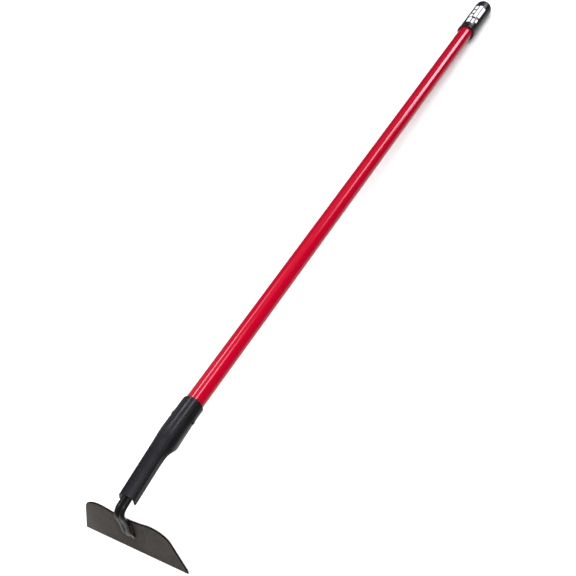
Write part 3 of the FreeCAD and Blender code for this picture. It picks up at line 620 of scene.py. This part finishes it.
def rod_path():
    """Points (x, z, heading below level) of a rod's centre line, from its inner end down."""
    x = -ROD_START
    z = -(ROD_DROP - (SOCKET_LENGTH - ROD_START) * math.tan(CHANNEL_SLOPE))
    foot_heading = math.pi / 2 + BLADE_LEAN
    points = [(x, z, CHANNEL_SLOPE)]

    def straight(length, heading, steps):
        x0, z0, _ = points[-1]
        for i in range(1, steps + 1):
            far = length * i / steps
            points.append((x0 - far * math.cos(heading), z0 - far * math.sin(heading), heading))

    def arc(radius, start, end, steps):
        x0, z0, _ = points[-1]
        sign = 1 if end > start else -1
        for i in range(1, steps + 1):
            now = start + (end - start) * i / steps
            points.append((x0 - sign * radius * (math.sin(now) - math.sin(start)),
                           z0 - sign * radius * (math.cos(start) - math.cos(now)), now))

    straight((ROD_BEND_START - ROD_START) / math.cos(CHANNEL_SLOPE), CHANNEL_SLOPE, steps=40)
    arc(ROD_BEND_RADIUS, CHANNEL_SLOPE, ROD_HEADING, steps=28)
    # where the falling run meets the line that lies one rod radius in front of the blade
    x, z, _ = points[-1]
    edge_x = -BLADE_REACH - ROD_RADIUS / math.sin(foot_heading)
    across = (-edge_x + x) * math.sin(foot_heading) - (BLADE_DROP + z) * math.cos(foot_heading)
    fall = -across / math.sin(ROD_HEADING - foot_heading)
    tangent = ROD_FOOT_RADIUS * math.tan((ROD_HEADING - foot_heading) / 2)
    straight(fall - tangent, ROD_HEADING, steps=10)
    arc(ROD_FOOT_RADIUS, ROD_HEADING, foot_heading, steps=8)
    x, z, _ = points[-1]
    foot = (x - edge_x) * math.cos(foot_heading) + (z + BLADE_DROP) * math.sin(foot_heading)
    straight(foot - ROD_FOOT_END, foot_heading, steps=40)
    return points


def rod_ring(point, side, flat, inset):
    """One section; flat below 1 presses it against the blade's face."""
    segments = 40
    x, z, heading = point
    outward = Vector((-math.sin(heading), 0, math.cos(heading)))
    middle = Vector((x, side * ROD_SPACING / 2, z))
    ring = []
    for i in range(segments):
        turn = 2 * math.pi * i / segments
        wide = (ROD_RADIUS - inset) * math.sin(turn)
        high = (ROD_RADIUS - inset) * math.cos(turn)
        high = (high + ROD_RADIUS) * flat - ROD_RADIUS
        ring.append(middle + outward * high + Vector((0, wide, 0)))
    return ring


def rod_mesh(name, side):
    """A round rod; its end is drawn down to a thin tongue against the blade."""
    tip = ROD_TIP / (2 * ROD_RADIUS)
    end_round = 0.8
    inner_chamfer = 0.5
    points = rod_path()
    lengths = [0.0]
    for before, after in zip(points, points[1:]):
        lengths.append(lengths[-1] + math.hypot(after[0] - before[0], after[1] - before[1]))
    rings = [rod_ring(points[0], side, 1.0, inner_chamfer)]
    for point, length in zip(points, lengths):
        left = lengths[-1] - length
        flat = 1 - (1 - tip) * (1 - smooth(left, 0, ROD_TAPER))
        inset = 0.0
        if left < end_round:
            inset = end_round - math.sqrt(max(0, end_round ** 2 - (end_round - left) ** 2))
        rings.append(rod_ring(point, side, flat, inset))
    return loft(name, rings)


# ---------------------------------------------------------------- blade

def blade_outline():
    """Closed outline (across, height) with its outward direction, anticlockwise."""
    half = BLADE_WIDTH / 2
    rise = HUMP_HEIGHT - DIP_HEIGHT
    hump = (HUMP_OFFSET, HUMP_HEIGHT - HUMP_RADIUS)
    dip_radius = (HUMP_OFFSET ** 2 + rise ** 2) / (2 * rise) - HUMP_RADIUS
    dip_centre = DIP_HEIGHT + dip_radius
    to_hump = math.hypot(half - hump[0], hump[1])
    side_angle = math.atan2(hump[1], hump[0] - half) - math.asin(HUMP_RADIUS / to_hump)
    normal = side_angle - math.pi / 2
    meet = math.atan2(dip_centre - hump[1], -hump[0])
    # rounded end of the cutting edge, then the hump, then the dip in the middle
    reach = BLADE_CORNER * math.tan((math.pi / 2 + normal) / 2)
    centre = (half - reach, BLADE_CORNER)
    corner_steps = 8
    hump_steps = 44
    dip_steps = 24
    right = []
    for i in range(corner_steps + 1):
        turn = -math.pi / 2 + (normal + math.pi / 2) * i / corner_steps
        right.append((centre[0] + BLADE_CORNER * math.cos(turn),
                      centre[1] + BLADE_CORNER * math.sin(turn), turn))
    for i in range(hump_steps + 1):
        turn = normal + (meet - normal) * i / hump_steps
        right.append((hump[0] + HUMP_RADIUS * math.cos(turn),
                      hump[1] + HUMP_RADIUS * math.sin(turn), turn))
    for i in range(1, dip_steps + 1):
        turn = meet + (math.pi / 2 - meet) * i / dip_steps
        right.append((-dip_radius * math.cos(turn), dip_centre - dip_radius * math.sin(turn), turn))
    left = [(-x, y, math.pi - turn) for x, y, turn in reversed(right[:-1])]
    return right + left


def grind(form):
    """Thins the plate towards the cutting edge, on the face at full depth."""
    everything = form.verts[:] + form.edges[:] + form.faces[:]
    bmesh.ops.bisect_plane(form, geom=everything, plane_co=(0, BEVEL_HEIGHT, 0),
                           plane_no=(0, 1, 0))
    for vertex in form.verts:
        if vertex.co.y < BEVEL_HEIGHT:
            thickness = EDGE_LAND + (SHEET - EDGE_LAND) * max(0.0, vertex.co.y) / BEVEL_HEIGHT
            vertex.co.z *= thickness / SHEET


def on_blade():
    """Blade frame to tool frame: X across, Y up the blade, Z towards the grip."""
    up = Vector((-math.sin(BLADE_LEAN), 0, math.cos(BLADE_LEAN)))
    across = Vector((0, 1, 0))
    square = Matrix((across, up, across.cross(up))).transposed().to_4x4()
    return Matrix.Translation((-BLADE_REACH, 0, -BLADE_DROP)) @ square


def blade_mesh():
    """Plate with broken edges; the cutting edge is ground on the side facing the grip."""
    support = 0.9
    inner = support + SHEET_EDGE
    broken = [(SHEET_EDGE * (1 - math.sin(turn)), SHEET_EDGE * (1 - math.cos(turn)))
              for turn in quarter(4)]
    levels = [(inner, 0.0)]
    levels += broken
    levels += [(inset, SHEET - depth) for inset, depth in reversed(broken)]
    levels.append((inner, SHEET))
    outline = blade_outline()
    form = bmesh.new()
    # rim marks the broken edges, which the blade's material darkens as painted shade
    rim = form.verts.layers.float.new("rim")
    rows = []
    for inset, depth in levels:
        row = []
        for x, y, turn in outline:
            vertex = form.verts.new((x - inset * math.cos(turn), y - inset * math.sin(turn), depth))
            vertex[rim] = 1.0 if inset < support else 0.0
            row.append(vertex)
        rows.append(row)
    skin(form, rows)
    form.faces.new(rows[0][::-1])
    form.faces.new(rows[-1])
    grind(form)
    mesh = to_mesh("blade_plate", form)
    mesh.transform(on_blade())
    return mesh


# ---------------------------------------------------------------- welds

def weld_bead(name, length, section, ripple):
    """A bead along Y with a stack of ripples.

    section(grown) gives the outline as (x, z, share of the ripple); the bead is fully grown
    except towards its two ends.
    """
    step = 0.25
    # distances from an end of the bead where its growth starts and is complete
    growth = (-0.2, 4.0)
    wave_height = 0.16
    wave_widening = 0.02
    middle_lag = 1.4
    lag_turn = 2.2
    lag_shift = 0.3
    steps = int(length / step)
    rings = []
    for i in range(steps + 1):
        y = length * i / steps
        grown = math.sqrt(smooth(min(y, length - y), *growth))
        phase = 2 * math.pi * y / ripple
        ring = []
        for x, z, outer in section(grown):
            lag = middle_lag * outer
            wave = wave_height * outer * math.cos(phase - lag * lag_turn)
            wider = 1 + wave_widening * wave
            ring.append(Vector((x * wider, y - lag * lag_shift, z - wave * grown)))
        rings.append(ring)
    return loft(name, rings)


def blade_weld_mesh(name, side):
    """Fillet between the outer side of a rod and the face of the blade."""
    ripple = 2.3
    steps = 10
    toe = math.radians(78)
    root = 0.8 * ROD_RADIUS
    inside = 2.0
    swell_across = 0.45
    swell_out = 0.7
    face = 0.12
    buried = 0.3

    def section(grown):
        centre = side * ROD_SPACING / 2
        top_x = ROD_RADIUS * math.sin(toe)
        top_z = ROD_RADIUS * math.cos(toe) - ROD_RADIUS
        foot_x = root + (BLADE_WELD_LEG - root) * grown
        points = []
        for i in range(steps + 1):
            share = i / steps
            outer = math.sin(math.pi * share)
            swell = outer * swell_across * grown
            x = top_x * (1 - share) + foot_x * share
            z = top_z * (1 - share) * grown + face
            points.append((centre + side * (x + swell), z - swell * swell_out, outer))
        points.append((centre + side * inside, buried, 0.0))
        points.append((centre + side * inside, -root, 0.0))
        return points

    mesh = weld_bead(name, BLADE_WELD_LENGTH, section, ripple)
    bottom = BLADE_WELD_TOP - BLADE_WELD_LENGTH
    mesh.transform(on_blade() @ Matrix.Translation((0, bottom, 0)))
    return mesh


def socket_weld_mesh(name, side):
    """Filler between a rod and the channel's wall, under the roof."""
    ripple = 2.6
    steps = 8
    first = ROD_SPACING - 0.3
    width = SOCKET_WELD_WALL - ROD_SPACING
    crown = 0.5
    below = 2.0
    above = 2.2

    def section(grown):
        shares = [i / steps for i in range(steps + 1)]
        points = []
        for share in shares:
            outer = math.sin(math.pi * share)
            points.append((side * (first + width * share), below * grown + crown * outer, outer))
        for share in reversed(shares):
            points.append((side * (first + width * share), -above * grown, 0.0))
        return points

    mesh = weld_bead(name, SOCKET_WELD_LENGTH, section, ripple)
    drop = ROD_DROP - (SOCKET_LENGTH - SOCKET_WELD_START) * math.tan(CHANNEL_SLOPE)
    along = Vector((-math.cos(CHANNEL_SLOPE), 0, -math.sin(CHANNEL_SLOPE)))
    across = Vector((0, 1, 0))
    down = Vector((math.sin(CHANNEL_SLOPE), 0, -math.cos(CHANNEL_SLOPE)))
    bead_frame = Matrix((across, along, down)).transposed().to_4x4()
    mesh.transform(Matrix.Translation((-SOCKET_WELD_START, 0, -drop)) @ bead_frame)
    # that frame is left-handed, so the move turned the faces inside out
    mesh.flip_normals()
    return mesh


# ---------------------------------------------------------------- handle, core and rivet

def handle_mesh():
    """Straight tube with broken outer edges, cut into lengths that shade evenly."""
    first = -HANDLE_IN_SOCKET
    last = HANDLE_VISIBLE + HANDLE_IN_GRIP
    chamfer = 0.4
    lengths = 24
    profile = [(first, HANDLE_BORE), (first, HANDLE_RADIUS - chamfer)]
    profile.append((first + chamfer, HANDLE_RADIUS))
    for i in range(1, lengths):
        profile.append((first + (last - first) * i / lengths, HANDLE_RADIUS))
    profile.append((last - chamfer, HANDLE_RADIUS))
    profile += [(last, HANDLE_RADIUS - chamfer), (last, HANDLE_BORE)]
    return lathe("handle_tube", profile, 128)


def core_mesh():
    """Dowel with broken ends."""
    first = -HANDLE_IN_SOCKET
    last = first + CORE_LENGTH
    radius = HANDLE_BORE - CORE_CLEARANCE
    chamfer = 0.6
    profile = [(first, 0), (first, radius - chamfer), (first + chamfer, radius)]
    profile += [(last - chamfer, radius), (last, radius - chamfer), (last, 0)]
    return lathe("handle_dowel", profile, 64)


def rivet_mesh():
    """Turned about Y: closed end at -Y, domed head at +Y."""
    shank = 3.0
    tail = 4.5
    tail_flat = 2.2
    tail_height = 1.5
    head = 5.25
    head_rim = 0.25
    head_break = 0.2
    dome_height = 1.65
    seat = SOCKET_RADIUS
    profile = [(-seat - tail_height, 0)]
    for turn in quarter(6):
        profile.append((-seat - tail_height * math.cos(turn),
                        tail_flat + (tail - tail_flat) * math.sin(turn)))
    profile += [(-seat, shank), (seat, shank), (seat, head - head_break), (seat + head_rim, head)]
    for turn in quarter(8)[1:]:
        profile.append((seat + head_rim + dome_height * math.sin(turn), head * math.cos(turn)))
    across = Matrix.Translation((-RIVET_REACH, 0, 0)) @ Matrix.Rotation(math.pi / 2, 4, "Z")
    return lathe("rivet_body", profile, 48, across)


# ---------------------------------------------------------------- grip and label

def grip_profile():
    """(along from the mouth, radius): bore, floor of the bore, outside with its bead and dome."""
    entry = 0.6
    rim = 1.2
    floor = GRIP_LENGTH - GRIP_END_WALL
    profile = [(floor, 0.0), (floor, GRIP_BORE), (entry, GRIP_BORE)]
    for turn in quarter(4):
        profile.append((entry * (1 - math.sin(turn)), GRIP_BORE + entry * (1 - math.cos(turn))))
    for turn in quarter(8):
        profile.append((rim * (1 - math.cos(turn)), GRIP_BEAD - rim * (1 - math.sin(turn))))
    # the bead falls to the barrel over this stretch
    fall_start = GRIP_BEAD_LENGTH - 1.0
    fall_length = 2.6
    fall_steps = 8
    for i in range(fall_steps + 1):
        share = i / fall_steps
        profile.append((fall_start + fall_length * share,
                        GRIP_BEAD - (GRIP_BEAD - GRIP_RADIUS) * smooth(share, 0, 1)))
    barrel_start = GRIP_BEAD_LENGTH + 2.0
    barrel_end = GRIP_LENGTH - GRIP_END_ROUND
    barrel_steps = 12
    for i in range(1, barrel_steps):
        profile.append((barrel_start + (barrel_end - barrel_start) * i / barrel_steps, GRIP_RADIUS))
    for turn in quarter(20):
        profile.append((barrel_end + GRIP_END_ROUND * math.sin(turn),
                        GRIP_RADIUS - GRIP_END_ROUND * (1 - math.cos(turn))))
    profile.append((GRIP_LENGTH, 0.0))
    return profile


def grip_mesh():
    shift = Matrix.Translation((HANDLE_VISIBLE, 0, 0))
    return lathe("grip_body", grip_profile(), 128, shift)


def label_mesh():
    """A thin film wrapped on the grip, with rounded corners."""
    half_length = LABEL_LENGTH / 2
    half_wrap = LABEL_ANGLE / 2 * GRIP_RADIUS
    corner_steps = 6
    cuts = 24
    outline = []
    for sign_x, sign_y, first in ((1, 1, 0), (-1, 1, 90), (-1, -1, 180), (1, -1, 270)):
        for i in range(corner_steps + 1):
            turn = math.radians(first + 90 * i / corner_steps)
            outline.append((sign_x * (half_length - LABEL_CORNER) + LABEL_CORNER * math.cos(turn),
                            sign_y * (half_wrap - LABEL_CORNER) + LABEL_CORNER * math.sin(turn)))
    form = bmesh.new()
    form.faces.new([form.verts.new((x, y, 0)) for x, y in outline])
    for i in range(1, cuts):
        everything = form.verts[:] + form.edges[:] + form.faces[:]
        y = half_wrap * (2 * i / cuts - 1)
        bmesh.ops.bisect_plane(form, geom=everything, plane_co=(0, y, 0), plane_no=(0, 1, 0))
    # the film's upper face is the one at height 1, until it is wrapped
    top = bmesh.ops.extrude_face_region(form, geom=form.faces[:])
    for item in top["geom"]:
        if isinstance(item, bmesh.types.BMVert):
            item.co.z = 1.0
    middle = HANDLE_VISIBLE + LABEL_START + half_length
    for vertex in form.verts:
        radius = GRIP_RADIUS - LABEL_THICKNESS / 2 + LABEL_THICKNESS * vertex.co.z
        turn = LABEL_TURN + vertex.co.y / GRIP_RADIUS
        vertex.co = (middle + vertex.co.x, radius * math.sin(turn), radius * math.cos(turn))
    return to_mesh("label_film", form)


# ---------------------------------------------------------------- pieces

socket_paint = black_paint("socket_paint", BLACK, WORN, roughness=0.27, peel_mm=0.008,
                           specular=0.5)
shank_paint = black_paint("shank_paint", SOOT, BROWN_BLACK, roughness=0.22, peel_mm=0.008,
                          specular=0.5)
weld_paint = black_paint("weld_paint", BROWN_BLACK, BROWN_BLACK, roughness=0.38, peel_mm=0.02,
                         specular=0.10)
rivet_paint = black_paint("rivet_paint", BLACK, WORN, roughness=0.30, peel_mm=0.01,
                          specular=0.4)

piece("socket_rolled", socket_mesh(), socket_paint, "socket_steel", "socket")
piece("rod_left", rod_mesh("rod_left", 1), shank_paint, "shank_steel", "shank_rod_left")
piece("rod_right", rod_mesh("rod_right", -1), shank_paint, "shank_steel", "shank_rod_right")
piece("blade_ground", blade_mesh(), blade_paint_and_reflection(), "blade_steel", "blade", crease=15)
piece("weld_left", blade_weld_mesh("weld_left", 1), weld_paint, "weld_steel", "blade_weld_left")
piece("weld_right", blade_weld_mesh("weld_right", -1), weld_paint, "weld_steel",
      "blade_weld_right")
piece("channel_weld_left", socket_weld_mesh("channel_weld_left", 1), weld_paint, "weld_steel",
      "socket_weld_left")
piece("channel_weld_right", socket_weld_mesh("channel_weld_right", -1), weld_paint, "weld_steel",
      "socket_weld_right")
piece("handle_shaft", handle_mesh(), red_fibreglass(), "handle_fibreglass", "handle_tube")
piece("handle_dowel", core_mesh(), sawn_wood(), "core_wood", "handle_core")
piece("rivet_domed", rivet_mesh(), rivet_paint, "rivet_steel", "rivet")
piece("grip_moulded", grip_mesh(), black_vinyl(), "grip_rubber", "grip")
piece("grip_print", label_mesh(), white_print(), "label_film", "grip_label")


# ---------------------------------------------------------------- floor, light and camera

# soft parts of the room: (direction, cosine where it fades in, cosine where it is full, colour)
ROOM = [
    ((0.45, 0.2, 0.87), 0.70, 1.0, rgb(0.30, 0.31, 0.33)),
    ((0.55, 0.83, -0.1), 0.88, 0.99, rgb(0.045, 0.06, 0.08)),
    ((0.6, 0.0, -0.8), 0.58, 0.84, rgb(0.68, 0.66, 0.65)),
    ((-0.5, 0.3, -0.8), 0.55, 0.85, rgb(0.68, 0.66, 0.65)),
]
# the rest of the room, and what the camera itself sees behind the floor
ROOM_DARK = rgb(0.02, 0.02, 0.022)
BACKDROP = rgb(0.9, 0.9, 0.9)
# lamps that run along the handle: their two sides in degrees from overhead towards +Y,
# where along the handle they start, are full, begin to fade and end, and their strength
LAMPS = [
    ((-36.0, 45.0), (0.25, 0.35, 0.44, 0.48), 0.52),
    ((-58.0, -36.0), (0.25, 0.35, 0.44, 0.48), 0.85),
    ((48.0, 110.0), (0.25, 0.35, 0.49, 0.60), 0.45),
    ((28.0, 39.0), (0.48, 0.50, 0.505, 0.65), 12.0),
    ((-20.0, -9.0), (0.48, 0.50, 0.505, 0.59), 13.0),
    ((-27.0, -9.0), (0.67, 0.79, 0.825, 0.85), 10.5),
    ((-46.0, -27.0), (0.76, 0.80, 0.825, 0.85), 10.5),
    ((-14.0, 14.0), (-0.40, -0.30, -0.05, 0.05), 4.0),
]
LAMP_TINT = (0.92, 0.87, 1.0)
LAMP_SOFTNESS = math.radians(1.0)


def make_floor():
    half_width = 14.0
    form = bmesh.new()
    bmesh.ops.create_grid(form, x_segments=8, y_segments=8, size=half_width)
    mesh = bpy.data.meshes.new("floor")
    form.to_mesh(mesh)
    form.free()
    mesh.materials.append(floor_white())
    floor = bpy.data.objects.new("floor", mesh)
    bpy.context.scene.collection.objects.link(floor)
    floor.visible_glossy = False


def hidden_lamp(name, data, turn):
    """Hangs a turned light, left out of view and of reflections."""
    lamp = bpy.data.objects.new(name, data)
    lamp.rotation_euler = turn
    lamp.visible_camera = False
    lamp.visible_glossy = False
    bpy.context.scene.collection.objects.link(lamp)
    return lamp


def soft_light(name, place_at, aim_at, width, depth, watts):
    """A rectangular light above the tool."""
    data = bpy.data.lights.new(name, "AREA")
    data.shape = "RECTANGLE"
    data.size = width
    data.size_y = depth
    data.energy = watts
    turn = (Vector(aim_at) - Vector(place_at)).to_track_quat("-Z", "Y").to_euler()
    lamp = hidden_lamp(name, data, turn)
    lamp.location = place_at


def soft_sky(name, towards, strength, spread):
    """A very wide, even light from one direction; spread is in degrees."""
    data = bpy.data.lights.new(name, "SUN")
    data.energy = strength
    data.angle = math.radians(spread)
    hidden_lamp(name, data, Vector(towards).to_track_quat("Z", "Y").to_euler())


def cosine(tree, direction, axis):
    """How nearly a direction points along an axis."""
    return add(tree, "VectorMath", {0: direction, 1: axis}, output="Value",
               operation="DOT_PRODUCT")


def lamp_mask(tree, direction, sides, stretch):
    """One where a direction, seen across the handle, lies between two angles."""
    turn = TOOL.to_3x3().normalized()
    along, across, up = [cosine(tree, direction, axis) for axis in turn.col]
    angle = calc(tree, "ARCTAN2", across, up)
    low, high = [math.radians(side) for side in sides]
    start, full, fading, end = stretch
    mask = calc(tree, "MULTIPLY", ramp(tree, along, start, full), ramp(tree, along, end, fading))
    return calc(tree, "MULTIPLY", mask, between(tree, angle, low, high, LAMP_SOFTNESS))


def make_world():
    """A dim room with a pale floor and long lamps; it only shows in reflections."""
    world = bpy.data.worlds.new("studio")
    bpy.context.scene.world = world
    world.use_nodes = True
    tree = world.node_tree
    tree.nodes.clear()
    direction = add(tree, "TexCoord", {}, output="Generated")
    room = ROOM_DARK
    for towards, fades, full, colour in ROOM:
        facing = cosine(tree, direction, Vector(towards).normalized())
        room = blend_colour(tree, ramp(tree, facing, fades, full), room, colour)
    for sides, stretch, strength in LAMPS:
        colour = rgb(*[strength * part for part in LAMP_TINT])
        room = blend_colour(tree, lamp_mask(tree, direction, sides, stretch), room, colour)
    seen = add(tree, "LightPath", {}, output="Is Camera Ray")
    background = tree.nodes.new("ShaderNodeBackground")
    tree.links.new(blend_colour(tree, seen, room, BACKDROP), background.inputs["Color"])
    output = tree.nodes.new("ShaderNodeOutputWorld")
    tree.links.new(background.outputs[0], output.inputs[0])
    world.cycles_visibility.diffuse = False


def make_camera():
    data = bpy.data.cameras.new("camera")
    data.lens = 62.5
    data.sensor_width = 36.0
    data.clip_start = 0.05
    camera = bpy.data.objects.new("camera", data)
    # columns: the picture's right, the picture's up, backwards, and where the camera stands
    camera.matrix_world = Matrix((
        (0.452433, 0.683240, -0.573139, -1.228925),
        (-0.889904, 0.304018, -0.340065, -0.582482),
        (-0.058101, 0.663895, 0.745565, 1.343128),
        (0, 0, 0, 1)))
    bpy.context.scene.collection.objects.link(camera)
    bpy.context.scene.camera = camera


make_floor()
make_world()
soft_light("overhead", place_at=(-1.2, -0.5, 2.6), aim_at=(-0.2, 0, 0), width=2.4, depth=2.4,
           watts=115)
soft_sky("ceiling", towards=(-1.0, 0.6, 2.6), strength=3.7, spread=90)
make_camera()
bpy.context.scene.view_settings.view_transform = "Standard"
